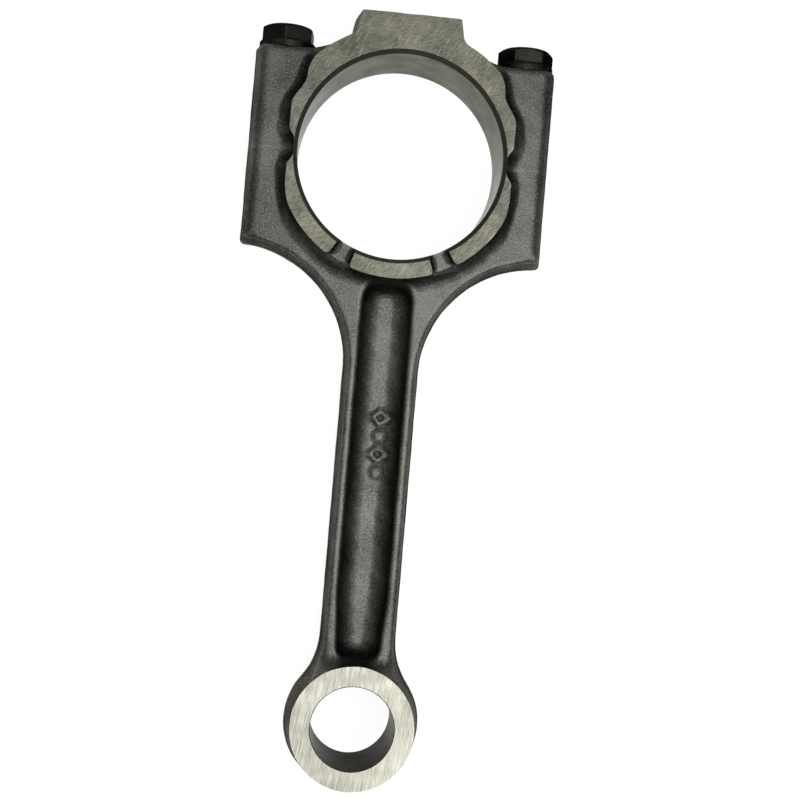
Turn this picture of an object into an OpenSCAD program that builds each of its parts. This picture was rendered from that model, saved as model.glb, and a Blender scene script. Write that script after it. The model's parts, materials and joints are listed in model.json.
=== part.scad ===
// Fracture-split connecting rod for a small four-cylinder petrol engine.
// The rod lies flat: +Z along the crankpin and piston pin, +Y from the piston-pin eye to the cap.
// Origin: centre of the big-end bore, at the middle of its width. All sizes are millimetres.

/* [Main sizes] */
// Distance between the centres of the big-end and small-end bores
centre_distance = 150; // [140:1:165]
// Diameter of the big-end bore, which takes the bearing shells
big_bore_d = 54; // [53:0.5:55]
// Width of the big end over its machined thrust faces
big_end_w = 26; // [24:0.5:28]
// Diameter of the small-end bore, which takes a press-fitted piston pin
small_bore_d = 22; // [18:0.5:24]
// Width of the small end over its machined faces
small_end_w = 24; // [20:0.5:26]

/* [Forging] */
// Thickness of the beam flanges and of the bolt bosses
flange_t = 17; // [15:0.5:18]
// Width of the beam over its flanges
beam_w = 20.4; // [19:0.2:23]
// Thickness of the thin web between the two flanges
web_t = 4.8; // [4:0.2:7]
// Width of each channel between the flanges, at the top of the flanges
channel_w = 14; // [12:0.2:14]
// Radius of the hollow in each bottom corner of a channel
channel_r = 4; // [3:0.25:4.5]
// Radius of the shoulders that run from the beam out to the bolt bosses
shoulder_r = 30.7; // [29:0.1:31]
// Radius of the fillets between the beam and the small end
neck_r = 20; // [16:1:24]
// Draft angle of the channel's sides
draft = 8; // [5:1:9]

/* [Small end] */
// Diameter of the machined face of the small end
small_face_d = 32.6; // [30:0.2:34]
// Outer diameter of the small end
eye_d = 36; // [34.4:0.2:37]

/* [Big end] */
// Width of the big end over its two bolt bosses
boss_span = 80.8; // [80:0.2:82]
// Height of the bolt seats above the split
seat_y = 27.2; // [27:0.2:29]
// Outer radius of the cap's thrust faces
cap_face_r = 34.5; // [34:0.1:35]
// Outer radius of the rod's thrust faces
rod_face_r = 32; // [31.5:0.1:32.5]
// Width of the big-end bore's chamfers
bore_chamfer = 1.1; // [0.5:0.1:1.5]
// Height of the balance pad's top above the split
pad_y = 38.6; // [38:0.1:40]
// Width of the balance pad
pad_w = 28.4; // [26:0.2:30]
// Angle of each oil slot from the beam's centre line
slot_angle = 27; // [25:1:29]
// Width of the oil slots in the rod's thrust faces
slot_w = 5.5; // [4:0.5:6.5]
// Depth of the oil slots
slot_depth = 1.2; // [0.5:0.1:2]
// Half-height of the gap in the thrust faces, where they meet the split
split_relief = 2.4; // [1.5:0.1:3]

/* [Bolts] */
// Distance from the rod's centre line to each bolt's axis
bolt_x = 32.1; // [32:0.1:32.4]
// Width across the flats of the bolt head
hex_af = 13; // [12:0.5:13.5]
// Height of the bolt head, with the collar under it
head_h = 6.4; // [6:0.1:7]
// Diameter of the round collar under the head
collar_d = 15.2; // [15.2:0.1:15.6]
// Height of the collar
collar_h = 2; // [1:0.1:2.5]
// Diameter of the bolt's thread
thread_d = 8.8; // [8:0.1:9]
// Length of the bolt below its head
bolt_length = 46; // [40:1:46]
// Angle to which the left bolt is tightened, from flats facing the rod's faces
left_turn = 25; // [0:1:59]
// Angle to which the right bolt is tightened
right_turn = 0; // [0:1:59]

/* [Hidden] */
$fn = 96;

big_h = big_end_w / 2;
small_h = small_end_w / 2;
flange_h = flange_t / 2;
web_h = web_t / 2;
boss_x = boss_span / 2;
big_bore_r = big_bore_d / 2;
bore_rim_r = big_bore_r + bore_chamfer;
small_face_r = small_face_d / 2;
eye_r = eye_d / 2;

// The shoulder arc starts level under the boss and ends in line with the beam's side.
shoulder_x = beam_w / 2 + shoulder_r;
boss_y = -25.3;
shoulder_y = boss_y - shoulder_r;

// The neck fillet touches the beam's side and runs just into the small end's outline.
neck_overlap = 0.3;
neck_x = beam_w / 2 + neck_r;
neck_y = -centre_distance + sqrt(pow(eye_r + neck_r - neck_overlap, 2) - pow(neck_x, 2));

// The channel's section: a flat floor, a hollow in each corner and drafted sides.
channel_top = flange_h + 0.5;
tangent_x = channel_r * cos(draft);
tangent_z = web_h + channel_r - channel_r * sin(draft);
side_run = (flange_h - tangent_z) * tan(draft);
floor_x = channel_w / 2 - side_run - tangent_x;
channel_top_x = floor_x + tangent_x + (channel_top - tangent_z) * tan(draft);
channel_start_y = -38;
channel_end_y = 10 - centre_distance;

// Thrust-face outline on the cap: wide over the bolts' shanks and waisted beside their heads.
face_x = 29.4;
waist_x = 25.8;
tip_x = 28;
step_run = 2.3;

// A hole is a little wider than the bolt, by this much on the radius.
clearance_hole = 0.35;
thread_gap = 0.1;
tapped_depth = 20;
corner_r = 1.5;
head_bevel = 1.1;
past = 1;

STEEL = "dimgray";
BLACK_OXIDE = "#1c1d1d";

module both_sides() {
    children();
    mirror([1, 0, 0]) children();
}

module both_faces() {
    children();
    mirror([0, 0, 1]) children();
}

// A cylinder along +Y, from y0 upwards.
module upright(r, y0, h) {
    translate([0, y0, 0]) rotate([-90, 0, 0]) cylinder(h = h, r = r);
}

// The right-hand bolt boss and the shoulder below it.
module right_boss_outline() {
    difference() {
        translate([0, shoulder_y]) square([boss_x, -shoulder_y]);
        translate([shoulder_x, shoulder_y]) circle(r = shoulder_r);
    }
}

module right_neck_outline() {
    difference() {
        polygon([[0, neck_y], [beam_w / 2, neck_y], [neck_x, neck_y], [0, -centre_distance]]);
        translate([neck_x, neck_y]) circle(r = neck_r);
    }
}

// Everything on the rod's side of the split, at the height of the flanges.
module rod_outline() {
    translate([-beam_w / 2, -centre_distance]) square([beam_w, centre_distance + shoulder_y]);
    translate([0, -centre_distance]) circle(r = eye_r);
    both_sides() {
        right_boss_outline();
        right_neck_outline();
    }
}

module channel_half_section() {
    translate([0, web_h]) square([floor_x, channel_top - web_h]);
    intersection() {
        translate([floor_x, web_h + channel_r]) circle(r = channel_r);
        square([channel_top_x, channel_top]);
    }
    polygon([
        [0, tangent_z],
        [floor_x + tangent_x, tangent_z],
        [channel_top_x, channel_top],
        [0, channel_top]
    ]);
}

// The channel between the flanges on the +Z face. It starts round and runs into the small end.
module channel() {
    translate([0, channel_start_y, 0]) rotate_extrude() channel_half_section();
    translate([0, channel_start_y, 0]) rotate([90, 0, 0])
        linear_extrude(height = channel_start_y - channel_end_y)
            both_sides() channel_half_section();
}

module big_bore() {
    translate([0, 0, -big_h - past]) cylinder(h = big_end_w + 2 * past, r = big_bore_r);
    both_faces() translate([0, 0, big_h - bore_chamfer])
        cylinder(h = bore_chamfer + past, r1 = big_bore_r, r2 = bore_rim_r + past);
}

// The small end stands above the flanges and narrows to its machined faces.
module small_end() {
    translate([0, -centre_distance, -flange_h]) cylinder(h = flange_t, r = eye_r);
    both_faces() translate([0, -centre_distance, flange_h])
        cylinder(h = small_h - flange_h, r1 = eye_r, r2 = small_face_r);
}

// One slot on each side of the beam, cut across the rod's thrust face.
module oil_slots() {
    both_faces() both_sides() rotate([0, 0, slot_angle])
        translate([-slot_w / 2, -boss_x, big_h - slot_depth])
            cube([slot_w, boss_x, slot_depth + past]);
}

module rod_ring() {
    difference() {
        both_faces() {
            cylinder(h = flange_h, r = rod_face_r + step_run);
            translate([0, 0, flange_h])
                cylinder(h = big_h - flange_h, r1 = rod_face_r + step_run, r2 = rod_face_r);
        }
        translate([-boss_x, -split_relief, flange_h]) cube([boss_span, boss_x, big_h]);
        translate([-boss_x, -split_relief, -flange_h - big_h]) cube([boss_span, boss_x, big_h]);
        translate([-boss_x, 0, -big_end_w]) cube([boss_span, boss_x, 2 * big_end_w]);
        both_sides() both_faces()
            translate([face_x, -boss_x, flange_h]) cube([boss_x, boss_x, big_h]);
    }
}

module rod_forging() {
    color(STEEL) difference() {
        union() {
            difference() {
                translate([0, 0, -flange_h]) linear_extrude(height = flange_t) rod_outline();
                both_faces() channel();
            }
            small_end();
            rod_ring();
        }
        big_bore();
        oil_slots();
        translate([0, -centre_distance, -small_end_w])
            cylinder(h = 2 * small_end_w, d = small_bore_d);
        both_sides() translate([bolt_x, 0, 0])
            upright(thread_d / 2 + thread_gap, -tapped_depth, tapped_depth + past);
    }
}

// The top corners of the bosses are rounded.
module cap_boss_outline() {
    square([boss_x - corner_r, seat_y]);
    square([boss_x, seat_y - corner_r]);
    translate([boss_x - corner_r, seat_y - corner_r]) circle(r = corner_r);
}

module cap_face_outline() {
    intersection() {
        circle(r = cap_face_r);
        polygon([
            [0, split_relief],
            [tip_x, split_relief],
            [face_x, 5.5],
            [face_x, 11],
            [waist_x, 18.3],
            [waist_x, 21.5],
            [23, 25.8],
            [23, boss_x],
            [0, boss_x]
        ]);
    }
}

module cap_blank() {
    translate([0, 0, -flange_h]) linear_extrude(height = flange_t)
        both_sides() cap_boss_outline();
    translate([0, 0, -big_h]) linear_extrude(height = big_end_w) {
        both_sides() cap_face_outline();
        translate([-pad_w / 2, 0]) square([pad_w, pad_y]);
    }
}

module bearing_cap() {
    color(STEEL) difference() {
        cap_blank();
        big_bore();
        both_sides() translate([bolt_x, 0, 0])
            upright(thread_d / 2 + clearance_hole, -past, seat_y + 2 * past);
    }
}

// A hexagon-head cap screw with a collar. Its head is bevelled round the top and its point is bevelled too.
module cap_bolt(turn) {
    rotate([-90, 0, 0]) {
        translate([0, 0, seat_y]) cylinder(h = collar_h, d = collar_d);
        intersection() {
            translate([0, 0, seat_y]) rotate([0, 0, turn])
                cylinder(h = head_h, d = hex_af / cos(30), $fn = 6);
            translate([0, 0, seat_y]) {
                cylinder(h = head_h - head_bevel, d = 2 * hex_af);
                translate([0, 0, head_h - head_bevel])
                    cylinder(h = head_bevel, r1 = hex_af / 2 + 2 * head_bevel, r2 = hex_af / 2);
            }
        }
        translate([0, 0, seat_y - bolt_length + head_bevel])
            cylinder(h = bolt_length - head_bevel, d = thread_d);
        translate([0, 0, seat_y - bolt_length])
            cylinder(h = head_bevel, r1 = thread_d / 2 - head_bevel, r2 = thread_d / 2);
    }
}

module left_cap_bolt() {
    color(BLACK_OXIDE) translate([-bolt_x, 0, 0]) cap_bolt(left_turn);
}

module right_cap_bolt() {
    color(BLACK_OXIDE) translate([bolt_x, 0, 0]) cap_bolt(right_turn);
}

rod_forging();
bearing_cap();
left_cap_bolt();
right_cap_bolt();
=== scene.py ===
"""Connecting rod for a small petrol engine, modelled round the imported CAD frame.

The rod and its cap are one drop forging. It is described here as a distance field, meshed, then machined
with boolean cutters: the faces are milled, both ends are bored, the cap is broken off, and the bolt holes are
drilled and tapped. Lengths are millimetres here, and are scaled to metres as meshes and lamps are made.
"""

import json
import logging
import math
from collections.abc import Callable, Sequence
from dataclasses import dataclass, field
from enum import Enum

import bpy
import numpy as np
from mathutils import Matrix, Vector, noise


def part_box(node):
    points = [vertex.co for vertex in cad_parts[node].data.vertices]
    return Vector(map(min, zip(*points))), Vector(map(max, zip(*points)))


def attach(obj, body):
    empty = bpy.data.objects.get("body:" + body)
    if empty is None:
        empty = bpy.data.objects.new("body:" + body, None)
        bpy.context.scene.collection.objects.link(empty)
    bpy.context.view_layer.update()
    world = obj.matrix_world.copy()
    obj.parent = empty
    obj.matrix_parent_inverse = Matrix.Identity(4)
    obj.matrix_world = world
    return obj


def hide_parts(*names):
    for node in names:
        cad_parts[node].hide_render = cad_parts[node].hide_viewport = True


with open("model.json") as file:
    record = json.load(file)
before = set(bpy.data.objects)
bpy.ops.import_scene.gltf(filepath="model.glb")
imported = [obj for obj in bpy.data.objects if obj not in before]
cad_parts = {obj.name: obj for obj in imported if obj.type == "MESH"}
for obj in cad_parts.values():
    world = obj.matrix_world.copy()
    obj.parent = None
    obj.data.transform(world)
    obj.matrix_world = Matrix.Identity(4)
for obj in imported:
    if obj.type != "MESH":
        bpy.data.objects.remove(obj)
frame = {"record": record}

Array = np.ndarray
Field = Callable[[Array, Array, Array], Array]
Profile = Sequence[tuple[float, float]]
Piece = bpy.types.Object
Socket = bpy.types.NodeSocket
Tree = bpy.types.NodeTree

LOG = logging.getLogger("connecting_rod")
MM = 0.001
# Farther than the big end reaches from the centre of its bore, in millimetres
FAR = 60.0
# Height of a bolt's head with its collar in the CAD, in millimetres
HEAD_HEIGHT = 6.4


class Finish(Enum):
    """The surfaces of the parts. Each value is the name of its material."""

    FORGED = "shot_blasted_forging"
    GROUND = "ground_thrust_face"
    BRUSHED = "linished_pin_face"
    BORED = "honed_bore"
    REAMED = "reamed_pin_bore"
    TURNED = "turned_chamfer"
    DRILLED = "drilled_and_tapped_hole"
    FRACTURE = "fractured_steel"
    OXIDE = "black_oxide_bolt"


# ---------------------------------------------------------------- distance fields


def union_round(a: Array, b: Array, radius: float | Array) -> Array:
    """Join two fields, with a fillet in the inside corner between them.

    Args:
        a: the first field.
        b: the second field.
        radius: the fillet's radius.

    Returns:
        The joined field.
    """
    u = np.maximum(radius - a, 0.0)
    v = np.maximum(radius - b, 0.0)
    return np.maximum(radius, np.minimum(a, b)) - np.hypot(u, v)


def intersect_round(a: Array, b: Array, radius: float | Array) -> Array:
    """Keep what lies in both fields, with the outside corner between them rounded.

    Args:
        a: the first field.
        b: the second field.
        radius: the corner's radius.

    Returns:
        The common field.
    """
    u = np.maximum(radius + a, 0.0)
    v = np.maximum(radius + b, 0.0)
    return np.minimum(-radius, np.maximum(a, b)) + np.hypot(u, v)


def rectangle(across: Array, along: Array, half: float | Array, low: float | Array, high: float) -> Array:
    """Exact field of a rectangle that is symmetrical about the centre line.

    Args:
        across: distance from the centre line.
        along: position along it.
        half: half the rectangle's width.
        low: its lower end.
        high: its upper end.

    Returns:
        The signed distance, negative inside.
    """
    dx = across - half
    dy = np.abs(along - (low + high) / 2) - (high - low) / 2
    return np.hypot(np.maximum(dx, 0), np.maximum(dy, 0)) + np.minimum(np.maximum(dx, dy), 0)


def ease(value: Array, start: float, end: float) -> Array:
    """Go smoothly from 0 at start to 1 at end."""
    t = np.clip((value - start) / (end - start), 0.0, 1.0)
    return t * t * (3 - 2 * t)


@dataclass
class DieMarks:
    """A row of plain raised lozenges and round buttons that the die leaves on the web."""

    x: float = 1.0
    top: float = -68.5
    pitch: float = 4.9
    count: int = 4
    height: float = 0.4
    line: float = 0.5
    lozenge: float = 1.9
    button: float = 1.45

    def rise(self, x: Array, y: Array) -> Array:
        """How far the marks stand above the web.

        Args:
            x: distance from the centre line.
            y: position along the rod.

        Returns:
            The height at each place, with soft flanks.
        """
        total = 0.0
        for step in range(self.count):
            u, v = x - self.x, y - self.top + self.pitch * step
            if step % 2:
                mark = np.exp(-((np.hypot(u, v) / self.button) ** 6))
            else:
                away = np.abs(np.abs(u) + np.abs(v) - self.lozenge) / math.sqrt(2)
                mark = np.exp(-((away / self.line) ** 2))
            total = total + self.height * mark
        return total


@dataclass
class DropForging:
    """The forged blank of the rod and its cap together, before any machining.

    The widths are those at the die's parting plane, z = 0. Every side leans in from there by the draft. The
    channel's start and the eye's and neck's runs are heights above the small end's centre. All other heights are
    from the big bore's centre.
    """

    # Worked out from the frame
    centre_distance: float
    boss_half: float
    seat_y: float
    big_half: float
    # Beam and web
    beam_half: float = 10.2
    flange: float = 8.5
    web: float = 2.4
    channel_half: float = 6.65
    channel_top: float = -38.0
    channel_start: float = 21.5
    channel_lean: float = 8.0
    channel_corner: float = 4.1
    channel_edge: float = 0.8
    channel_narrowing: float = 0.8
    narrowing_run: float = 16.0
    # Bolt bosses and the shoulders under them
    boss_low: float = -25.3
    boss_corner: float = 1.3
    boss_edge: float = 2.2
    boss_edge_run: tuple[float, float] = (32.0, 38.0)
    boss_fade: tuple[float, float] = (-1.7, 5.3)
    boss_overlap: float = 3.0
    shoulder: float = 30.7
    seat_stock: float = 0.08
    seat_edge: float = 0.7
    seat_edge_growth: float = 0.9
    seat_edge_run: tuple[float, float] = (3.0, 8.0)
    # Small end and its neck
    eye: float = 18.0
    neck: float = 20.0
    eye_fillet: float = 3.5
    eye_edge_run: tuple[float, float] = (12.0, 17.0)
    neck_edge: float = 1.5
    neck_edge_run: tuple[float, float] = (22.0, 16.5)
    # Thrust rings, balance pad and oil slots
    rod_ring: float = 32.0
    rod_ring_corner: float = 1.5
    cap_ring: float = 34.2
    cap_ring_corner: float = 2.0
    ring_side: float = 29.45
    ring_waist: float = 25.9
    waist_run: tuple[float, float] = (10.8, 18.8)
    tip_inset: float = 1.4
    tip_run: tuple[float, float] = (2.0, 5.0)
    ring_fillet: float = 3.0
    pad_half: float = 13.0
    pad_top: float = 37.3
    pad_flare: float = 0.19
    pad_flare_run: tuple[float, float] = (-3.0, 8.0)
    pad_fillet: float = 1.2
    slot_angle: float = 26.0
    slot_half: float = 2.75
    slot_floor: float = 11.5
    slot_inner: float = 20.0
    slot_outer: float = 28.0
    slot_flare: float = 0.12
    slot_corner: float = 1.2
    slot_edge: float = 1.0
    slot_lean: float = 0.2
    # Die and skin
    stock: float = 1.5
    draft: float = 7.0
    edge: float = 0.9
    least_edge: float = 0.05
    flash: float = 0.22
    flash_run: tuple[float, float] = (0.6, 1.1)
    ripple: float = 0.03
    marks: DieMarks = field(default_factory=DieMarks)

    def outline(self, x: Array, y: Array, inset: Array) -> Array:
        """Field of the beam, shoulders, bosses and small end in plan.

        Args:
            x: distance from the centre line.
            y: position along the rod.
            inset: how far the drafted side has leant in at this height.

        Returns:
            The signed distance to the outline.
        """
        corner = self.boss_corner
        boss = rectangle(x, y, self.boss_half - inset - corner, self.boss_low + inset + corner, FAR) - corner
        overlap = self.boss_low + self.boss_overlap
        beam = rectangle(x, y, self.beam_half - inset, -self.centre_distance, overlap)
        body = union_round(boss, beam, self.shoulder + inset)
        eye = np.hypot(x, y + self.centre_distance) - (self.eye - inset)
        cx = self.beam_half + self.neck
        rise = math.sqrt((self.eye + self.neck) ** 2 - cx**2)
        cy = rise - self.centre_distance
        hollow = self.neck + inset - np.hypot(x - cx, y - cy)
        behind = (rise * x - cx * (y + self.centre_distance)) / math.hypot(cx, rise)
        neck = np.maximum(np.maximum(hollow, y - cy), behind)
        return np.minimum(np.minimum(body, eye), neck)

    def channel(self, x: Array, y: Array, z: Array) -> Array:
        """Field of the channel between the flanges, with a hollow all round its floor.

        Args:
            x: distance from the centre line.
            y: position along the rod.
            z: height above the parting plane.

        Returns:
            The signed distance, negative in the channel's empty space.
        """
        low = self.channel_start - self.centre_distance
        half = self.channel_half - self.channel_narrowing * ease(y, low + self.narrowing_run, low)
        lean = (self.flange - z) * math.tan(math.radians(self.channel_lean))
        plan = np.hypot(x, y - np.clip(y, low, self.channel_top)) - (half - lean)
        return intersect_round(plan, self.web - z, self.channel_corner)

    def ring_plan(self, x: Array, y: Array) -> Array:
        """Field of the raised ring round the big bore in plan, with the cap's balance pad.

        Args:
            x: distance from the centre line.
            y: position along the rod.

        Returns:
            The signed distance to the ring's outline at its ground face.
        """
        reach = np.hypot(x, y)
        side = self.ring_side - self.tip_inset * (1 - ease(np.abs(y), *self.tip_run))
        waist = side - (self.ring_side - self.ring_waist) * ease(y, *self.waist_run)
        rod = intersect_round(reach - self.rod_ring, x - side, self.rod_ring_corner)
        cap = intersect_round(reach - self.cap_ring, x - waist, self.cap_ring_corner)
        flare = self.pad_flare * np.clip(self.pad_top - y, *self.pad_flare_run)
        pad = rectangle(x, y, self.pad_half + flare, 0.0, self.pad_top)
        return union_round(np.where(y < 0, rod, cap), pad, self.pad_fillet)

    def thrust_ring(self, x: Array, y: Array, z: Array) -> Array:
        """Field of the drafted ring with its machining stock, and the oil slots pressed into it.

        Args:
            x: distance from the centre line.
            y: position along the rod.
            z: height above the parting plane.

        Returns:
            The signed distance, negative inside.
        """
        lean = (self.big_half - z) * math.tan(math.radians(self.draft))
        body = np.maximum(self.ring_plan(x, y) - lean, z - self.big_half - self.stock)
        turn = math.radians(self.slot_angle)
        across = np.abs(x * math.cos(turn) + y * math.sin(turn))
        along = x * math.sin(turn) - y * math.cos(turn)
        spread = self.slot_flare * (along - self.slot_outer) + self.slot_lean * (z - self.big_half)
        slot = intersect_round(across - self.slot_half - spread, self.slot_floor - z, self.slot_corner)
        slot = np.maximum(slot, self.slot_inner - along)
        return intersect_round(body, -slot, self.slot_edge)

    def edge_radius(self, x: Array, y: Array) -> Array:
        """Radius of the top edges: full at the bosses, wide at the neck, and next to none round the eye.

        Args:
            x: distance from the centre line.
            y: position along the rod.

        Returns:
            The radius at each place.
        """
        up = y + self.centre_distance
        boss_side = ease(x, *self.boss_edge_run) * ease(y - self.boss_low, *self.boss_fade)
        radius = self.edge + self.boss_edge * boss_side + self.neck_edge * ease(up, *self.neck_edge_run)
        return self.least_edge + (radius - self.least_edge) * ease(up, *self.eye_edge_run)

    def wear(self, x: Array, y: Array, z: Array) -> Array:
        """Shallow waves, 5 to 7 mm long, that a worn die leaves in the skin.

        Args:
            x: distance from the centre line.
            y: position along the rod.
            z: height above the parting plane.

        Returns:
            The height of the waves at each place.
        """
        crossed = np.sin(0.9 * x + 0.4 * y) * np.sin(0.7 * y - 0.5 * z)
        return self.ripple * (crossed + np.sin(0.35 * y + 1.1 * z + 0.6 * x))

    def distance(self, x: Array, y: Array, z: Array) -> Array:
        """Field of the whole blank.

        Args:
            x: distance from the centre line. The arguments broadcast against each other.
            y: position along the rod.
            z: height above the parting plane.

        Returns:
            The signed distance, negative inside.
        """
        ax, az = np.abs(x), np.abs(z)
        slope = math.tan(math.radians(self.draft))
        squeezed = self.flash * ease(az, *self.flash_run)
        side = self.outline(ax, y, az * slope + squeezed) * math.cos(math.radians(self.draft))
        pocket = self.channel(ax, y, az) + self.marks.rise(x, y) * (z > 0)
        top = intersect_round(az - self.flange, -pocket, self.channel_edge)
        eye_wall = np.hypot(x, y + self.centre_distance) - (self.eye - self.flash - az * slope)
        top = union_round(top, eye_wall, self.eye_fillet)
        body = intersect_round(side, top, self.edge_radius(ax, y))
        seat_edge = self.seat_edge + self.seat_edge_growth * ease(az, *self.seat_edge_run)
        body = intersect_round(body, y - self.seat_y - self.seat_stock, seat_edge)
        body = union_round(body, self.thrust_ring(ax, y, az), self.ring_fillet)
        return np.maximum(body, az - self.big_half - self.stock) + self.wear(x, y, z)


# ---------------------------------------------------------------- meshing


@dataclass
class NetMesher:
    """Meshes a distance field with quads that lie on its surface.

    A round of settling evens out the points and puts them back on the surface. The last rounds only put them
    back.
    """

    cell: float = 0.5
    settle: int = 4
    last_rounds: int = 3
    probe: float = 0.02
    least_slope: float = 0.05

    def slope(self, shape: Field, points: Array) -> tuple[Array, Array]:
        """Measure the field.

        Args:
            shape: the field.
            points: where to measure it.

        Returns:
            Its value and its gradient at each point.
        """
        step = self.probe
        value = shape(*points.T)
        grads = []
        for axis in range(3):
            ahead = points.copy()
            back = points.copy()
            ahead[:, axis] += step
            back[:, axis] -= step
            grads.append((shape(*ahead.T) - shape(*back.T)) / (2 * step))
        return value, np.stack(grads, axis=1)

    def onto_surface(self, shape: Field, points: Array, rounds: int) -> Array:
        """Move points along the gradient until they lie on the surface.

        Args:
            shape: the field.
            points: where they start.
            rounds: how many steps to take.

        Returns:
            Where they end. A step is never longer than a cell.
        """
        for _ in range(rounds):
            value, grad = self.slope(shape, points)
            step = grad * (value / np.maximum((grad**2).sum(1), self.least_slope))[:, None]
            length = np.linalg.norm(step, axis=1, keepdims=True)
            points = points - step * np.minimum(1.0, self.cell / np.maximum(length, 1e-9))
        return points

    def relax(self, points: Array, quads: Array) -> Array:
        """Move each point half way to the middle of its neighbours.

        Args:
            points: the mesh's points.
            quads: its faces.

        Returns:
            The moved points.
        """
        ends = np.concatenate([quads[:, [i, (i + 1) % 4]] for i in range(4)])
        count = np.bincount(ends.ravel(), minlength=len(points))
        middle = np.empty_like(points)
        for axis in range(3):
            total = np.bincount(ends[:, 0], points[ends[:, 1], axis], len(points))
            total += np.bincount(ends[:, 1], points[ends[:, 0], axis], len(points))
            middle[:, axis] = total / np.maximum(count, 1)
        return (points + middle) / 2

    def mesh(self, shape: Field, low: Sequence[float], high: Sequence[float]) -> tuple[Array, Array]:
        """Mesh the field inside a box.

        Args:
            shape: the distance field, negative inside.
            low: the box's lowest corner.
            high: its highest corner.

        Returns:
            The points, and the quads as rows of four point numbers, turned outwards.
        """
        axes = [np.arange(a, b + self.cell, self.cell) for a, b in zip(low, high, strict=True)]
        grid = shape(axes[0][:, None, None], axes[1][None, :, None], axes[2][None, None, :])
        corners = [(i, j, k) for i in (0, 1) for j in (0, 1) for k in (0, 1)]
        size = [n - 1 for n in grid.shape]
        part = {c: grid[tuple(slice(o, o + n) for o, n in zip(c, size, strict=True))] for c in corners}
        inside = sum((part[c] < 0).astype(np.int8) for c in corners)
        cells = np.argwhere((inside > 0) & (inside < 8))
        number = np.full(size, -1, np.int64)
        number[tuple(cells.T)] = np.arange(len(cells))
        value = {c: part[c][tuple(cells.T)] for c in corners}
        total = np.zeros((len(cells), 3))
        hits = np.zeros(len(cells))
        for a in corners:
            for axis in range(3):
                if a[axis]:
                    continue
                b = tuple(o + (i == axis) for i, o in enumerate(a))
                crossed = (value[a] < 0) != (value[b] < 0)
                share = value[a] / np.where(crossed, value[a] - value[b], 1.0)
                spot = np.array(a, float)[None, :] + share[:, None] * np.eye(3)[axis]
                total += np.where(crossed[:, None], spot, 0.0)
                hits += crossed
        start = np.array([a[0] for a in axes])
        points = start + (cells + total / hits[:, None]) * self.cell
        quads = self.quads(grid, number)
        for _ in range(self.settle):
            points = self.onto_surface(shape, self.relax(points, quads), 1)
        return self.onto_surface(shape, points, self.last_rounds), quads

    def quads(self, grid: Array, number: Array) -> Array:
        """Put one quad round each grid edge that crosses the surface.

        Args:
            grid: the field's value at each grid point.
            number: the point number in each cell, where it has one.

        Returns:
            The quads, turned outwards.
        """
        found = []
        for axis in range(3):
            b, c = (axis + 1) % 3, (axis + 2) % 3
            here = [slice(1, -1)] * 3
            ahead = [slice(1, -1)] * 3
            here[axis], ahead[axis] = slice(0, -1), slice(1, None)
            first, second = grid[tuple(here)] < 0, grid[tuple(ahead)] < 0
            for rising in (True, False):
                at = np.argwhere((first & ~second) if rising else (~first & second))
                at[:, b] += 1
                at[:, c] += 1
                ring = []
                for db, dc in ((1, 1), (0, 1), (0, 0), (1, 0)):
                    cell = at.copy()
                    cell[:, b] -= db
                    cell[:, c] -= dc
                    ring.append(number[tuple(cell.T)])
                rows = np.stack(ring, axis=1)
                found.append(rows if rising else rows[:, ::-1])
        return np.concatenate(found)


# ---------------------------------------------------------------- bolts and threads


@dataclass
class Thread:
    """A right-handed thread round the Y axis. The widths of its crest and flanks are shares of the pitch.

    The two scales shorten the field where it is steep, so that the mesher's steps don't overshoot.
    """

    major: float
    pitch: float = 1.25
    depth: float = 0.62
    crest: float = 0.12
    flank: float = 0.7
    wall_scale: float = 0.85
    bevel: float = 0.3
    bevel_scale: float = 0.7

    def reach(self, x: Array, y: Array, z: Array) -> Array:
        """Follow the helix.

        Args:
            x: first coordinate across the axis.
            y: place along the axis.
            z: second coordinate across the axis.

        Returns:
            How far the thread stands below its crest, from 0 to its depth.
        """
        turn = np.arctan2(x, z) / (2 * math.pi)
        phase = (y / self.pitch - turn) % 1.0
        return self.depth * np.clip((np.abs(2 * phase - 1) - self.crest) / self.flank, 0.0, 1.0)

    def bar(self, x: Array, y: Array, z: Array, low: float, high: float) -> Array:
        """Field of a threaded bar, bevelled at its lower end.

        Args:
            x: first coordinate across the axis.
            y: place along the axis.
            z: second coordinate across the axis.
            low: the bar's lower end.
            high: its upper end.

        Returns:
            The signed distance, negative inside.
        """
        radius = np.hypot(x, z)
        wall = (radius - self.major + self.reach(x, y, z)) * self.wall_scale
        bevel = (radius - self.major + self.depth - (y - low) + self.bevel) * self.bevel_scale
        return np.maximum(np.maximum(wall, bevel), np.maximum(low - y, y - high))


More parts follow.
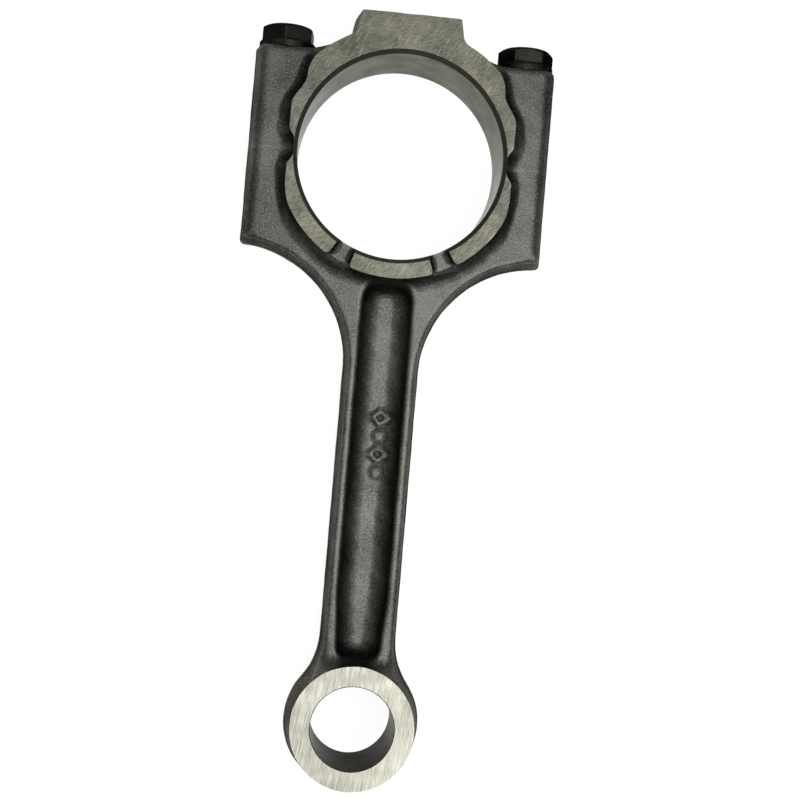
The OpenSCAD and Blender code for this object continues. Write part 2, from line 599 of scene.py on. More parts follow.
@dataclass
class CapBolt:
    """A hexagon-headed cap bolt along Y, cold headed with a rolled thread and then blackened.

    Its head stands on a round collar. The head is bevelled from the crown's radius and dished inside it.
    """

    axis_x: float
    seat_y: float
    turn: float
    head_width: float = 13.0
    head_height: float = 6.35
    collar_radius: float = 7.55
    collar_height: float = 2.0
    crown_radius: float = 5.8
    crown_slope: tuple[float, float] = (0.5, 0.87)
    dish_radius: float = 4.4
    dish_depth: float = 0.3
    softness: float = 0.25
    collar_edge: float = 0.4
    neck_fillet: float = 0.35
    relief: float = 0.4
    relief_run: tuple[float, float] = (2.5, 1.0)
    length: float = 46.0
    thread_length: float = 19.0
    thread: Thread = field(default_factory=lambda: Thread(major=4.4))
    mesher: NetMesher = field(default_factory=lambda: NetMesher(cell=0.27, settle=2))

    def head(self, x: Array, y: Array, z: Array) -> Array:
        """Field of the head and its collar.

        Args:
            x: first coordinate across the bolt's axis.
            y: place along it, in the rod's frame.
            z: second coordinate across it.

        Returns:
            The signed distance, negative inside.
        """
        soft = self.softness
        turn = math.radians(self.turn)
        u = x * math.cos(turn) - z * math.sin(turn)
        v = x * math.sin(turn) + z * math.cos(turn)
        lean = math.sin(math.radians(60)) * np.abs(u) + math.cos(math.radians(60)) * np.abs(v)
        hexagon = np.maximum(np.abs(v), lean) - self.head_width / 2
        rise = y - self.seat_y
        top = intersect_round(hexagon, rise - self.head_height, soft)
        radius = np.hypot(x, z)
        inwards, up = self.crown_slope
        crown = (radius - self.crown_radius) * inwards + (rise - self.head_height) * up
        body = intersect_round(top, crown, soft)
        dish = np.maximum(radius - self.dish_radius, self.head_height - self.dish_depth - rise)
        body = np.maximum(np.maximum(body, -dish), self.collar_edge - rise)
        collar = intersect_round(radius - self.collar_radius, rise - self.collar_height, self.collar_edge)
        return union_round(body, np.maximum(collar, -rise), soft)

    def distance(self, x: Array, y: Array, z: Array) -> Array:
        """Field of the whole bolt, with a relief groove between the shank and the thread.

        Args:
            x: first coordinate across the bolt's axis.
            y: place along it, in the rod's frame.
            z: second coordinate across it.

        Returns:
            The signed distance, negative inside.
        """
        tip = self.seat_y - self.length
        start = tip + self.thread_length
        groove = self.relief * ease(y - start, *self.relief_run)
        across = np.hypot(x, z) - self.thread.major + groove
        shank = np.maximum(across, np.maximum(start - y, y - self.seat_y - self.collar_height / 2))
        neck = union_round(self.head(x, y, z), shank, self.neck_fillet)
        return np.minimum(neck, self.thread.bar(x, y, z, tip, start + self.softness))

    def build(self, name: str, shop: "Workshop") -> Piece:
        """Mesh the bolt, and put it in its hole.

        Args:
            name: the name of its object.
            shop: the workshop that makes it.

        Returns:
            The bolt.
        """
        side_gap, end_gap = 0.6, 1.0
        half = self.collar_radius + side_gap
        low = (-half, self.seat_y - self.length - end_gap, -half)
        high = (half, self.seat_y + self.head_height + end_gap, half)
        points, quads = self.mesher.mesh(self.distance, low, high)
        return shop.solid(name, points + (self.axis_x, 0, 0), quads, Finish.OXIDE)


# ---------------------------------------------------------------- machining


@dataclass(frozen=True)
class Fracture:
    """The relief of a clean break: crystal grains on a gentle roll, each so many to the millimetre."""

    grain: float = 0.9
    grain_height: float = 0.11
    roll: float = 0.16
    roll_height: float = 0.16

    def relief(self, x: float, z: float) -> float:
        """Measure the break.

        Args:
            x: place across the bosses.
            z: place through the rod's thickness.

        Returns:
            How far the break stands from its plane.
        """
        grains = noise.fractal(Vector((x, 7.0, z)) * self.grain, 0.7, 2.0, 4)
        return self.grain_height * grains + self.roll_height * noise.noise(Vector((x, 3.0, z)) * self.roll)


@dataclass
class Workshop:
    """Turns points into solids and machines them. Each cutter leaves its own finish behind it."""

    paint: dict[Finish, bpy.types.Material]
    fracture: Fracture = field(default_factory=Fracture)

    def solid(self, name: str, points: Array, faces: Sequence, finish: Finish | Sequence[Finish]) -> Piece:
        """Make a closed solid.

        Args:
            name: the name of its object.
            points: its points in millimetres.
            faces: the point numbers of each face, turned outwards.
            finish: one finish for all of it, or one for each face.

        Returns:
            The new object.
        """
        mesh = bpy.data.meshes.new(name)
        mesh.from_pydata((np.asarray(points) * MM).tolist(), [], np.asarray(faces, dtype=object).tolist())
        used = [finish] if isinstance(finish, Finish) else sorted(set(finish), key=lambda f: f.value)
        for each in used:
            mesh.materials.append(self.paint[each])
        if not isinstance(finish, Finish):
            mesh.polygons.foreach_set("material_index", [used.index(f) for f in finish])
        mesh.update()
        piece = bpy.data.objects.new(name, mesh)
        bpy.context.scene.collection.objects.link(piece)
        return piece

    def box(self, low: Sequence[float], high: Sequence[float], finish: Finish) -> Piece:
        """Make a square-cornered cutter.

        Args:
            low: its lowest corner.
            high: its highest corner.
            finish: the finish that it leaves.

        Returns:
            The cutter.
        """
        (a, b, c), (d, e, f) = low, high
        points = [(a, b, c), (d, b, c), (d, e, c), (a, e, c), (a, b, f), (d, b, f), (d, e, f), (a, e, f)]
        faces = [(0, 3, 2, 1), (4, 5, 6, 7), (0, 1, 5, 4), (1, 2, 6, 5), (2, 3, 7, 6), (3, 0, 4, 7)]
        return self.solid("box_cutter", points, faces, finish)

    def turned(self, profile: Profile, finishes: Sequence[Finish], place: Matrix, steps: int = 160) -> Piece:
        """Make a round cutter.

        Args:
            profile: its radius and height, from one end to the other.
            finishes: the finish of each stretch between two heights.
            place: where its axis, which starts as Z, goes.
            steps: how many sides it has.

        Returns:
            The cutter.
        """
        points, faces, looks = [], [], []
        for radius, height in profile:
            for i in range(steps):
                turn = 2 * math.pi * i / steps
                points.append(place @ Vector((radius * math.cos(turn), radius * math.sin(turn), height)))
        for row, finish in enumerate(finishes):
            for i in range(steps):
                j = (i + 1) % steps
                a, b = row * steps, (row + 1) * steps
                faces.append((a + i, a + j, b + j, b + i))
                looks.append(finish)
        last = (len(profile) - 1) * steps
        faces.append(tuple(reversed(range(steps))))
        faces.append(tuple(range(last, last + steps)))
        looks += [finishes[0], finishes[-1]]
        return self.solid("turned_cutter", points, faces, looks)

    def torn(self, half: float, depth: float, low: float, high: float, step: float = 0.7) -> Piece:
        """Make a block whose end nearest y = 0 has the relief of the fracture.

        Args:
            half: half its width, along X.
            depth: half its depth, along Z.
            low: its lower end, along Y.
            high: its upper end.
            step: the spacing of the points in its ends.

        Returns:
            The cutter.
        """
        across = int(2 * half / step)
        deep = int(2 * depth / step)
        broken = min(low, high, key=abs)
        points, faces = [], []
        for y in (low, high):
            for i in range(across + 1):
                for j in range(deep + 1):
                    x, z = -half + i * step, -depth + j * step
                    relief = self.fracture.relief(x, z) if y == broken else 0.0
                    points.append((x, y + relief, z))
        row = deep + 1
        layer = row * (across + 1)
        for i in range(across):
            for j in range(deep):
                a = i * row + j
                faces.append((a, a + row, a + row + 1, a + 1))
                faces.append((a + layer, a + 1 + layer, a + row + 1 + layer, a + row + layer))
        rim = [i * row for i in range(across)] + [across * row + j for j in range(deep)]
        rim += [i * row + deep for i in range(across, 0, -1)] + [j for j in range(deep, 0, -1)]
        for a, b in zip(rim, rim[1:] + rim[:1], strict=True):
            faces.append((a, a + layer, b + layer, b))
        return self.solid("torn_cutter", points, faces, Finish.FRACTURE)

    def copy(self, piece: Piece, name: str) -> Piece:
        """Make a second object with its own copy of the mesh.

        Args:
            piece: the object to copy.
            name: the new object's name.

        Returns:
            The copy.
        """
        double = bpy.data.objects.new(name, piece.data.copy())
        bpy.context.scene.collection.objects.link(double)
        return double

    def cut(self, piece: Piece, cutter: Piece) -> None:
        """Take the cutter's solid away from the piece, and throw the cutter away.

        Args:
            piece: the workpiece.
            cutter: the solid to take away.
        """
        step = piece.modifiers.new("cut", "BOOLEAN")
        step.operation = "DIFFERENCE"
        step.solver = "MANIFOLD"
        step.material_mode = "TRANSFER"
        step.object = cutter
        bpy.context.view_layer.update()
        graph = bpy.context.evaluated_depsgraph_get()
        mesh = bpy.data.meshes.new_from_object(piece.evaluated_get(graph))
        piece.modifiers.clear()
        piece.data = mesh
        bpy.data.objects.remove(cutter)

    def finish(self, piece: Piece, sharp: float = 50.0) -> None:
        """Shade a piece smooth, but sharp where two finishes meet and along real corners.

        Args:
            piece: the finished piece.
            sharp: the least angle of a real corner, in degrees.
        """
        mesh = piece.data
        mesh.polygons.foreach_set("use_smooth", [True] * len(mesh.polygons))
        mesh.set_sharp_from_angle(angle=math.radians(sharp))
        name = {i: m.name for i, m in enumerate(mesh.materials)}
        first: dict[tuple[int, int], str] = {}
        edges = {tuple(sorted(e.vertices)): e for e in mesh.edges}
        for face in mesh.polygons:
            for key in face.edge_keys:
                look = name[face.material_index]
                if first.setdefault(key, look) != look:
                    edges[key].use_edge_sharp = True


@dataclass
class RodAndCap:
    """The forging once it is machined: the rod and its cap, broken apart across the big bore."""

    forging: DropForging
    big_bore: float
    small_bore: float
    small_half: float
    pad_y: float
    bolt_x: float
    bore_chamfer: float = 1.1
    pin_chamfer: float = 0.2
    clearance_hole: float = 4.75
    hole_chamfer: float = 2.4
    hole_lip: float = 0.4
    spot_face: float = 8.15
    spot_height: float = 9.0
    tapped_depth: float = 20.0
    tap_major: float = 5.05
    tap_depth: float = 0.55
    crack: float = 0.01
    overrun: float = 2.5
    mesher: NetMesher = field(default_factory=lambda: NetMesher(cell=0.55))
    tap_mesher: NetMesher = field(default_factory=lambda: NetMesher(cell=0.3, settle=2))

    def bored(self, shop: Workshop, radius: float, half: float, y: float, wall: Finish) -> Piece:
        """Make the cutter for a bore along Z, chamfered at both faces.

        Args:
            shop: the workshop that makes it.
            radius: the bore's radius.
            half: half the width of the end that it goes through.
            y: where its centre is.
            wall: the finish of its wall.

        Returns:
            The cutter.
        """
        chamfer = self.bore_chamfer if wall is Finish.BORED else self.pin_chamfer
        out = self.overrun
        profile = [
            (radius + chamfer + out, -half - out),
            (radius, -half + chamfer),
            (radius, half - chamfer),
            (radius + chamfer + out, half + out),
        ]
        looks = [Finish.TURNED, wall, Finish.TURNED]
        return shop.turned(profile, looks, Matrix.Translation((0, y, 0)), steps=240)

    def drilled(self, shop: Workshop, x: float, profile: Profile) -> Piece:
        """Make the cutter for a round hole along a bolt's axis.

        Args:
            shop: the workshop that makes it.
            x: where the bolt's axis is.
            profile: the radius and height, along Y, of each step.

        Returns:
            The cutter.
        """
        place = Matrix.Translation((x, 0, 0)) @ Matrix.Rotation(-math.pi / 2, 4, "X")
        return shop.turned(profile, [Finish.DRILLED] * (len(profile) - 1), place, steps=72)

    def tap(self, shop: Workshop, x: float) -> Piece:
        """Make the cutter that leaves a thread in a bolt hole.

        Args:
            shop: the workshop that makes it.
            x: where the bolt's axis is.

        Returns:
            The cutter.
        """
        thread = Thread(major=self.tap_major, depth=self.tap_depth)
        low, high, half = -self.tapped_depth, 3.0, 6.0

        def bar(x: Array, y: Array, z: Array) -> Array:
            """Field of the tap between its two ends."""
            return thread.bar(x, y, z, low, high)

        points, quads = self.tap_mesher.mesh(bar, (-half, low - 1, -half), (half, high + 1, half))
        return shop.solid("tap", points + (x, 0, 0), quads, Finish.DRILLED)

    def machine(self, shop: Workshop, blank: Piece) -> None:
        """Mill the faces and bore both ends while the cap is still part of the rod.

        Args:
            shop: the workshop.
            blank: the forged blank.
        """
        big, small, seat = self.forging.big_half, self.small_half, self.forging.seat_y
        ends = ((big, Finish.GROUND, -FAR, FAR), (small, Finish.BRUSHED, -3 * FAR, -FAR))
        for side in (1, -1):
            for half, finish, low, high in ends:
                z = sorted((side * half, side * FAR))
                shop.cut(blank, shop.box((-FAR, low, z[0]), (FAR, high, z[1]), finish))
        shop.cut(blank, shop.box((-FAR, self.pad_y, -FAR), (FAR, FAR, FAR), Finish.GROUND))
        shop.cut(blank, self.bored(shop, self.big_bore, big, 0.0, Finish.BORED))
        pin_y = -self.forging.centre_distance
        shop.cut(blank, self.bored(shop, self.small_bore, small, pin_y, Finish.REAMED))
        spot = [(self.spot_face, seat), (self.spot_face, seat + self.spot_height)]
        for x in (-self.bolt_x, self.bolt_x):
            shop.cut(blank, self.drilled(shop, x, spot))

    def build(self, shop: Workshop) -> dict[str, Piece]:
        """Forge, machine, split and drill.

        Args:
            shop: the workshop that does it.

        Returns:
            The finished rod and cap, by the body that each rides on.
        """
        forging = self.forging
        top = forging.big_half + forging.stock + 1.0
        side = forging.boss_half + 2.0
        low = (-side, -forging.centre_distance - forging.eye - 2.0, -top)
        high = (side, self.pad_y + 4.0, top)
        points, quads = self.mesher.mesh(forging.distance, low, high)
        rod = shop.solid("blank", points, quads, Finish.FORGED)
        self.machine(shop, rod)
        cap = shop.copy(rod, "machined_bearing_cap")
        rod.name = "machined_rod"
        past_side, past_top = forging.boss_half + 4.6, top + 0.5
        shop.cut(rod, shop.torn(past_side, past_top, 0.0, FAR))
        shop.cut(cap, shop.torn(past_side, past_top, -3 * FAR, self.crack))
        hole, lip = self.clearance_hole, forging.seat_y - self.hole_lip
        past_break = -5.0
        steps = [(hole, past_break), (hole, lip), (hole + self.hole_chamfer, lip + self.hole_chamfer)]
        for x in (-self.bolt_x, self.bolt_x):
            shop.cut(cap, self.drilled(shop, x, steps))
            shop.cut(rod, self.tap(shop, x))
        for piece in (rod, cap):
            shop.finish(piece)
        return {"rod": rod, "cap": cap}


# ---------------------------------------------------------------- finishes


def linear(code: str) -> tuple[float, float, float, float]:
    """Turn an sRGB hex colour into the linear values that a shader takes.

    Args:
        code: the colour, such as "#7a7974".

    Returns:
        Red, green, blue and alpha.
    """
    parts = [int(code[i : i + 2], 16) / 255 for i in (1, 3, 5)]
    values = [p / 12.92 if p <= 0.04045 else ((p + 0.055) / 1.055) ** 2.4 for p in parts]
    return (*values, 1.0)


def add(tree: Tree, kind: str, inputs: dict, **settings: object) -> bpy.types.Node:
    """Add a node to a tree, set it and wire it.

    Args:
        tree: the tree it goes in.
        kind: Blender's name for the type of node.
        inputs: for each input, by name or number, its value or the output that feeds it.
        settings: the node's own properties.

    Returns:
        The new node.
    """
    node = tree.nodes.new(kind)
    for name, value in settings.items():
        setattr(node, name, value)
    for key, value in inputs.items():
        if isinstance(value, bpy.types.NodeSocket):
            tree.links.new(value, node.inputs[key])
        else:
            node.inputs[key].default_value = value
    return node


@dataclass(frozen=True)
class Steel:
    """What every steel surface here shares: two shades, a roughness that drifts, and a grain.

    The grain is a noise stretched to its size in millimetres along X, Y and Z, and turned round Z. The edge
    tint is how much light the steel throws back at a grazing angle, which scale and oil cut down.
    """

    shade: str
    pale: str
    rough: tuple[float, float]
    grain_mm: tuple[float, float, float]
    turn: float = 0.0
    grain_depth_mm: float = 0.02
    patch_mm: float = 9.0
    patch_share: float = 0.5
    edge_tint: float = 1.0

    def place(self, tree: Tree) -> Socket:
        """Position on the piece in millimetres."""
        spot = add(tree, "ShaderNodeTexCoord", {}).outputs["Object"]
        return add(tree, "ShaderNodeMapping", {"Vector": spot, "Scale": (1 / MM,) * 3}).outputs[0]

    def lines(self, tree: Tree, place: Socket, size_mm: Sequence[float], turn: float, spread: dict) -> Socket:
        """Draw a stretched noise.

        Args:
            tree: the material's nodes.
            place: position on the piece.
            size_mm: the size of one grain along each axis.
            turn: its angle round Z, in degrees.
            spread: the settings that spread the noise over 0 to 1.

        Returns:
            The noise, spread out.
        """
        turned = add(tree, "ShaderNodeMapping", {"Vector": place, "Rotation": (0, 0, math.radians(turn))})
        scale = tuple(1 / size for size in size_mm)
        sized = add(tree, "ShaderNodeMapping", {"Vector": turned.outputs[0], "Scale": scale})
        speck = add(tree, "ShaderNodeTexNoise", {"Vector": sized.outputs[0], "Scale": 1.0, "Detail": 3.0})
        return add(tree, "ShaderNodeMapRange", {"Value": speck.outputs[0], **spread}).outputs[0]

    def patches(self, tree: Tree, place: Socket) -> Socket:
        """Slow drift over the surface.

        Args:
            tree: the material's nodes.
            place: position on the piece.

        Returns:
            The drift, from 0 to 1.
        """
        drift = {"Vector": place, "Scale": 1 / self.patch_mm, "Detail": 3.0, "Roughness": 0.6}
        value = add(tree, "ShaderNodeTexNoise", drift).outputs[0]
        spread = {"Value": value, "From Min": 0.35, "From Max": 0.65}
        return add(tree, "ShaderNodeMapRange", spread).outputs[0]

    def colour(self, tree: Tree, place: Socket, weight: Socket) -> Socket:
        """Mix the colour at each place from the two shades.

        Args:
            tree: the material's nodes.
            place: position on the piece. Not used here.
            weight: grain and patches together, from 0 to 1.

        Returns:
            The colour.
        """
        inputs = {0: weight, 6: linear(self.shade), 7: linear(self.pale)}
        return add(tree, "ShaderNodeMix", inputs, data_type="RGBA").outputs[2]

    def make(self, name: str) -> bpy.types.Material:
        """Build the material.

        Args:
            name: what it is called.

        Returns:
            The material, which takes nothing but the piece's own coordinates and shape.
        """
        material = bpy.data.materials.new(name)
        material.use_nodes = True
        tree = material.node_tree
        tree.nodes.clear()
        place = self.place(tree)
        grain = self.lines(tree, place, self.grain_mm, self.turn, {"From Min": 0.32, "From Max": 0.68})
        mixed = {0: self.patch_share, 2: grain, 3: self.patches(tree, place)}
        weight = add(tree, "ShaderNodeMix", mixed, data_type="FLOAT").outputs[0]
        gloss = {"Value": weight, "To Min": self.rough[0], "To Max": self.rough[1]}
        bump = {"Height": grain, "Strength": 1.0, "Distance": self.grain_depth_mm * MM}
        shader = add(
            tree,
            "ShaderNodeBsdfPrincipled",
            {
                "Metallic": 1.0,
                "Specular Tint": (self.edge_tint, self.edge_tint, self.edge_tint, 1.0),
                "Base Color": self.colour(tree, place, weight),
                "Roughness": add(tree, "ShaderNodeMapRange", gloss).outputs[0],
                "Normal": add(tree, "ShaderNodeBump", bump).outputs[0],
            },
        )
        add(tree, "ShaderNodeOutputMaterial", {"Surface": shader.outputs[0]})
        return material


@dataclass(frozen=True)
class ForgedSkin(Steel):
    """A shot-blasted skin: painted glints in small dents, edges lightened partly by wear and partly by painted
    highlight, and painted shade in the hollows.
    """

    # Colour of the painted glints, and of the edges lightened by wear and painted highlight.
    bright: str = "#c9c7bd"
    # Colour of the painted shade in the hollows.
    scale: str = "#141413"
    # Size of the painted glints, and how far they go towards the bright colour.
    painted_glint_mm: float = 0.5
    painted_glint_share: float = 0.15
    # How far convex edges go towards the bright colour: part wear, part painted highlight.
    wear_and_highlight_share: float = 0.45
    # How far hollows go towards the painted shade colour.
    painted_shade_share: float = 0.7

    def colour(self, tree: Tree, place: Socket, weight: Socket) -> Socket:
        """Add painted glints, edges lightened by wear and painted highlight, and painted shade in the hollows to
        the two shades of the skin.

        Args:
            tree: the material's nodes.
            place: position on the piece.
            weight: grain and patches together, from 0 to 1.

        Returns:
            The colour.
        """
        skin = super().colour(tree, place, weight)
        # Painted glints: bright specks where a fine noise peaks.
        dents = add(tree, "ShaderNodeTexNoise", {"Vector": place, "Scale": 1 / self.painted_glint_mm, "Detail": 1.0})
        rare = {"Value": dents.outputs[0], "From Min": 0.62, "From Max": 0.8, "To Max": self.painted_glint_share}
        painted_glints = add(tree, "ShaderNodeMapRange", rare).outputs[0]
        # Convex edges lighten, part wear and part painted highlight.
        bend = add(tree, "ShaderNodeNewGeometry", {}).outputs["Pointiness"]
        convex = {"Value": bend, "From Min": 0.51, "From Max": 0.58, "To Max": self.wear_and_highlight_share}
        wear_and_highlight = add(tree, "ShaderNodeMapRange", convex).outputs[0]
        # A razor edge, as round the crack between rod and cap, gets neither the wear nor the painted highlight.
        razor = {"Value": bend, "From Min": 0.6, "From Max": 0.63, "To Min": 1.0, "To Max": 0.0}
        blunt = add(tree, "ShaderNodeMapRange", razor).outputs[0]
        drawn = add(tree, "ShaderNodeMath", {0: wear_and_highlight, 1: blunt}, operation="MULTIPLY").outputs[0]
        uneven = {0: drawn, 1: weight, 2: painted_glints}
        share = add(tree, "ShaderNodeMath", uneven, operation="MULTIPLY_ADD").outputs[0]
        # Painted shade: concave places darken towards the near-black colour.
        hollow = {"Value": bend, "From Min": 0.497, "From Max": 0.487, "To Max": self.painted_shade_share}
        left = add(tree, "ShaderNodeMapRange", hollow).outputs[0]
        scaled = {0: left, 6: skin, 7: linear(self.scale)}
        dark = add(tree, "ShaderNodeMix", scaled, data_type="RGBA").outputs[2]
        # Lay the painted glints and the worn, painted-highlight edges over the skin.
        highlight_and_glint_mix = {0: share, 6: dark, 7: linear(self.bright)}
        return add(tree, "ShaderNodeMix", highlight_and_glint_mix, data_type="RGBA").outputs[2]


@dataclass(frozen=True)
class Scratched(Steel):
    """A flat face with a second, sparser set of bright scratches that crosses the first."""

    bright: str = "#d9d8c8"
    cross_mm: tuple[float, float, float] = (5.0, 0.3, 6.0)
    cross_turn: float = 0.0
    share: float = 0.6

    def colour(self, tree: Tree, place: Socket, weight: Socket) -> Socket:
        """Add the crossing scratches to the two shades of the face.

        Args:
            tree: the material's nodes.
            place: position on the piece.
            weight: grain and patches together, from 0 to 1.

        Returns:
            The colour.
        """
        face = super().colour(tree, place, weight)
        rare = {"From Min": 0.57, "From Max": 0.72, "To Max": self.share}
        amount = self.lines(tree, place, self.cross_mm, self.cross_turn, rare)
        crossed = {0: amount, 6: face, 7: linear(self.bright)}
        return add(tree, "ShaderNodeMix", crossed, data_type="RGBA").outputs[2]


FINISHES = {
    # Drop forging in carbon steel, shot blasted and oiled: a dark skin with small dents, and painted glints
    # among them. The shot leaves dents of 0.3 mm, drawn at 0.5 mm so that they show. Scale takes the shine off
    # steep sides.
    Finish.FORGED: ForgedSkin(
        shade="#383734",
        pale="#7a7974",
        rough=(0.4, 0.52),
        grain_mm=(0.5, 0.5, 0.5),
        patch_mm=14,
        patch_share=0.4,
        edge_tint=0.2,
    ),
    # Disc-ground steel: short slanting scratches and a yellowish film of oil, in cloudy patches. The scratches
    # are 0.05 mm wide, drawn at 0.22 mm so that they show.
    Finish.GROUND: Scratched(
        shade="#56574e",
        pale="#989788",
        rough=(0.62, 0.5),
        grain_mm=(1.6, 0.22, 6.0),
        turn=-28,
        grain_depth_mm=0.006,
        patch_share=0.4,
        cross_turn=-66,
        share=0.35,
    ),
    # Linished steel: long straight streaks along the rod. The belt is 80 grit, which scratches 0.1 mm wide,
    # and the streaks are drawn at 0.22 mm so that they show.
    Finish.BRUSHED: Scratched(
        shade="#979689",
        pale="#d3d2c5",
        rough=(0.56, 0.46),
        grain_mm=(0.22, 8.0, 0.4),
        turn=8,
        grain_depth_mm=0.006,
        patch_share=0.3,
        bright="#f4f3e9",
        cross_mm=(0.25, 4.0, 6.0),
        cross_turn=-6,
        share=0.5,
    ),
    # Bored steel, lightly honed: a smooth wall where the boring tool's rings still show. They are 0.1 mm
    # apart, drawn at 0.3 mm so that they show.
    Finish.BORED: Steel(
        shade="#63625b",
        pale="#88877c",
        rough=(0.36, 0.26),
        grain_mm=(8.0, 8.0, 0.3),
        grain_depth_mm=0.006,
        edge_tint=0.3,
    ),
    # Reamed steel with painted shade: a dark colour that stands for the shaded table the bore reflects. Faint
    # rings, drawn at 0.4 mm so that they show.
    Finish.REAMED: Steel(
        shade="#2f2d28",
        pale="#423f37",
        rough=(0.42, 0.32),
        grain_mm=(5.0, 5.0, 0.4),
        grain_depth_mm=0.008,
        edge_tint=0.3,
    ),
    # Steel turned with a single-point tool: bright chamfers with rings 0.25 mm apart.
    Finish.TURNED: Steel(
        shade="#6a685e",
        pale="#8d8b80",
        rough=(0.35, 0.25),
        grain_mm=(4.0, 4.0, 0.25),
        grain_depth_mm=0.006,
    ),
    # Drilled, tapped and spot-faced steel: mid grey, dulled by cutting oil, with 0.3 mm tool marks.
    Finish.DRILLED: Steel(
        shade="#4f4d47",
        pale="#7f7c72",
        rough=(0.45, 0.32),
        grain_mm=(1.5, 0.3, 1.5),
    ),
    # Fracture-split steel, untouched since it broke: bright crystal facets, drawn at 0.4 mm.
    Finish.FRACTURE: Steel(
        shade="#7c7a77",
        pale="#b9b7b3",
        rough=(0.5, 0.35),
        grain_mm=(0.4, 0.4, 0.4),
        grain_depth_mm=0.12,
    ),
    # Black oxide on cold-headed steel: near black, with a soft oily sheen.
    Finish.OXIDE: Steel(
        shade="#222421",
        pale="#3a3d38",
        rough=(0.4, 0.3),
        grain_mm=(0.5, 0.5, 0.5),
        grain_depth_mm=0.01,
        patch_mm=4,
        edge_tint=0.2,
    ),
}


# ---------------------------------------------------------------- studio


@dataclass(frozen=True)
class SoftBox:
    """A square lamp behind a diffuser: where it hangs, the length of its side, and its power in watts."""

    name: str
    place: tuple[float, float, float]
    size: float
    power: float


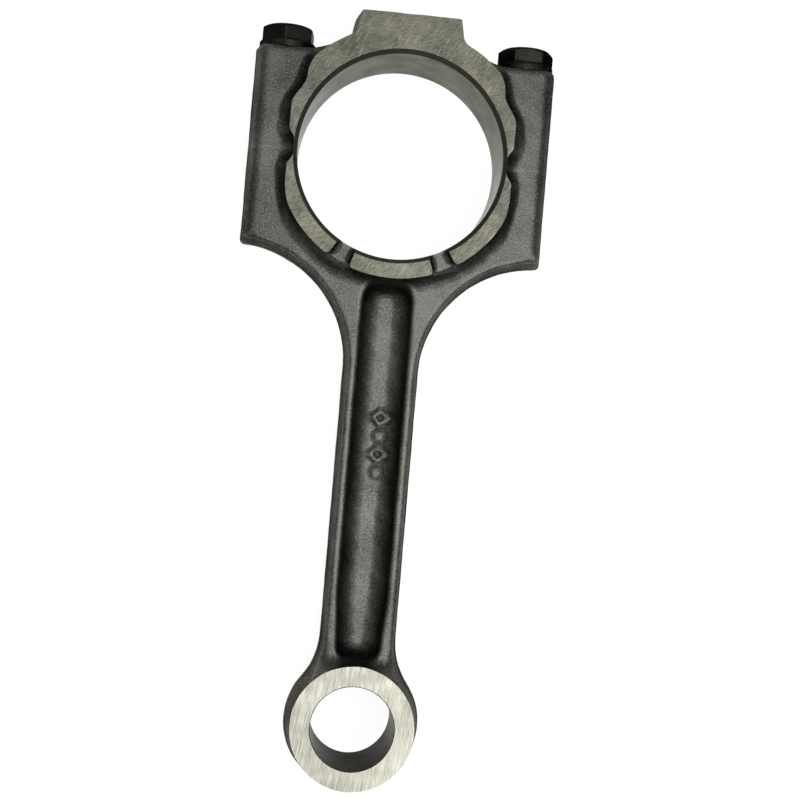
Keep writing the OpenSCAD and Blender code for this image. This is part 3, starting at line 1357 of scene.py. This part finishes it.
@dataclass
class Studio:
    """A pale table under two large soft lamps, and the camera that looks down at it. Places are millimetres."""

    floor_z: float
    camera_at: tuple[float, float, float] = (-20.1, -69.6, 416.0)
    aim: tuple[float, float, float] = (6.0, -63.3, 0.0)
    roll: float = 4.85
    lens: float = 69.75
    middle: tuple[float, float, float] = (0.0, -60.0, 0.0)
    lamps: tuple[SoftBox, ...] = (
        SoftBox("key_soft_box", (65, -20, 430), 210, 0.46),
        SoftBox("fill_soft_box", (60, -190, 420), 200, 0.42),
    )
    table_half: float = 15000.0
    table_gap: float = 0.05
    table_glow: float = 0.93
    walls: float = 0.06
    ceiling: float = 0.5
    ceiling_rise: tuple[float, float] = (0.15, 0.75)
    bounce: float = 2.0
    bounce_curve: float = 0.55
    backdrop: float = 0.95

    def pointed(self, data: bpy.types.ID, place: Sequence[float], aim: Sequence[float]) -> Piece:
        """Put a lamp or camera in its place, and point it.

        Args:
            data: the lamp or camera.
            place: where it goes.
            aim: where it points.

        Returns:
            Its object.
        """
        item = bpy.data.objects.new(data.name, data)
        bpy.context.scene.collection.objects.link(item)
        away = (Vector(place) - Vector(aim)).normalized()
        side = Vector((0, 1, 0)).cross(away).normalized()
        turn = Matrix((side, away.cross(side), away)).transposed()
        item.matrix_world = Matrix.Translation(Vector(place) * MM) @ turn.to_4x4()
        return item

    def camera(self) -> None:
        """Set up the camera."""
        data = bpy.data.cameras.new("camera")
        data.lens = self.lens
        data.clip_start = 0.01
        item = self.pointed(data, self.camera_at, self.aim)
        item.matrix_world = item.matrix_world @ Matrix.Rotation(math.radians(self.roll), 4, "Z")
        bpy.context.scene.camera = item

    def hang(self, lamp: SoftBox) -> None:
        """Hang a soft box that points at the middle of the rod.

        Args:
            lamp: the soft box.
        """
        data = bpy.data.lights.new(lamp.name, "AREA")
        data.shape = "SQUARE"
        data.size = lamp.size * MM
        data.energy = lamp.power
        self.pointed(data, lamp.place, self.middle)

    def table(self) -> None:
        """Lay the table top just under the rod. The steel doesn't reflect it, and room() stands in for it."""
        half = self.table_half * MM
        z = (self.floor_z - self.table_gap) * MM
        mesh = bpy.data.meshes.new("table_top")
        corners = [(-half, -half, z), (half, -half, z), (half, half, z), (-half, half, z)]
        mesh.from_pydata(corners, [], [(0, 1, 2, 3)])
        top = bpy.data.objects.new("table_top", mesh)
        bpy.context.scene.collection.objects.link(top)
        top.visible_glossy = False
        top.visible_diffuse = False
        material = bpy.data.materials.new("white_laminate")
        material.use_nodes = True
        shader = material.node_tree.nodes["Principled BSDF"]
        shader.inputs["Base Color"].default_value = linear("#707070")
        shader.inputs["Roughness"].default_value = 0.9
        shader.inputs["Emission Color"].default_value = linear("#ffffff")
        shader.inputs["Emission Strength"].default_value = self.table_glow
        mesh.materials.append(material)

    def room(self) -> None:
        """Light the room: dark walls, a pale ceiling, what a white table throws back, and a pale backdrop."""
        world = bpy.data.worlds.new("room")
        bpy.context.scene.world = world
        world.use_nodes = True
        tree = world.node_tree
        tree.nodes.clear()
        way = add(tree, "ShaderNodeTexCoord", {}).outputs["Generated"]
        height = add(tree, "ShaderNodeSeparateXYZ", {0: way}).outputs[2]
        start, end = self.ceiling_rise
        above = {"Value": height, "From Min": start, "From Max": end}
        above |= {"To Min": self.walls, "To Max": self.ceiling}
        upper = add(tree, "ShaderNodeMapRange", above, interpolation_type="SMOOTHSTEP").outputs[0]
        below = {"Value": height, "From Min": 0.0, "From Max": -1.0}
        depth = add(tree, "ShaderNodeMapRange", below).outputs[0]
        lower = add(tree, "ShaderNodeMath", {0: depth, 1: self.bounce_curve}, operation="POWER").outputs[0]
        both = {0: lower, 1: self.bounce, 2: upper}
        level = add(tree, "ShaderNodeMath", both, operation="MULTIPLY_ADD").outputs[0]
        seen = add(tree, "ShaderNodeLightPath", {}).outputs["Is Camera Ray"]
        behind = {0: seen, 2: level, 3: self.backdrop}
        shown = add(tree, "ShaderNodeMix", behind, data_type="FLOAT").outputs[0]
        back = add(tree, "ShaderNodeBackground", {"Color": linear("#ffffff"), "Strength": shown})
        add(tree, "ShaderNodeOutputWorld", {"Surface": back.outputs[0]})

    def build(self) -> None:
        """Set the whole scene round the rod."""
        bpy.context.scene.view_settings.view_transform = "Standard"
        self.camera()
        self.table()
        self.room()
        for lamp in self.lamps:
            self.hang(lamp)


# ---------------------------------------------------------------- assembly


def corners_mm(node: str) -> tuple[Vector, Vector]:
    """Find a CAD node's box at rest.

    Args:
        node: the node's name.

    Returns:
        Its lowest and highest corners, in millimetres.
    """
    low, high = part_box(node)
    return Vector(low) / MM, Vector(high) / MM


def main() -> None:
    """Build the studio, then the rod and cap, then the bolts, and report what each piece rides on."""
    logging.basicConfig(level=logging.INFO, format="%(message)s")
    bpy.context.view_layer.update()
    mounts = {m["name"]: m for m in frame["record"]["mounts"]}
    big, small = mounts["big_end_bore"], mounts["small_end_bore"]
    cap_low, cap_high = corners_mm("bearing_cap")
    bolt_low, bolt_high = corners_mm("right_cap_bolt")
    Studio(floor_z=cap_low.z).build()
    shop = Workshop({finish: steel.make(finish.value) for finish, steel in FINISHES.items()})

    seat_y = bolt_high.y - HEAD_HEIGHT
    bolt_x = (bolt_low.x + bolt_high.x) / 2
    forging = DropForging(
        centre_distance=abs(small["pos_m"][1]) / MM,
        boss_half=cap_high.x,
        seat_y=seat_y,
        big_half=cap_high.z,
    )
    pair = RodAndCap(
        forging=forging,
        big_bore=big["dims"]["r_mm"],
        small_bore=small["dims"]["r_mm"],
        small_half=small["dims"]["length_mm"] / 2,
        pad_y=cap_high.y,
        bolt_x=bolt_x,
    )
    pieces = pair.build(shop)
    for side, x, turn in (("left", -bolt_x, 25.0), ("right", bolt_x, 0.0)):
        bolt = CapBolt(axis_x=x, seat_y=seat_y, turn=turn).build(f"{side}_hex_bolt", shop)
        shop.finish(bolt, sharp=40.0)
        pieces[f"{side}_bolt"] = bolt

    replaced = {
        "rod": "rod_forging",
        "cap": "bearing_cap",
        "left_bolt": "left_cap_bolt",
        "right_bolt": "right_cap_bolt",
    }
    for body, piece in pieces.items():
        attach(piece, body)
        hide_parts(replaced[body])
        LOG.info("%s: %d faces, rides on %s", piece.name, len(piece.data.polygons), body)


if __name__ == "__main__":
    main()
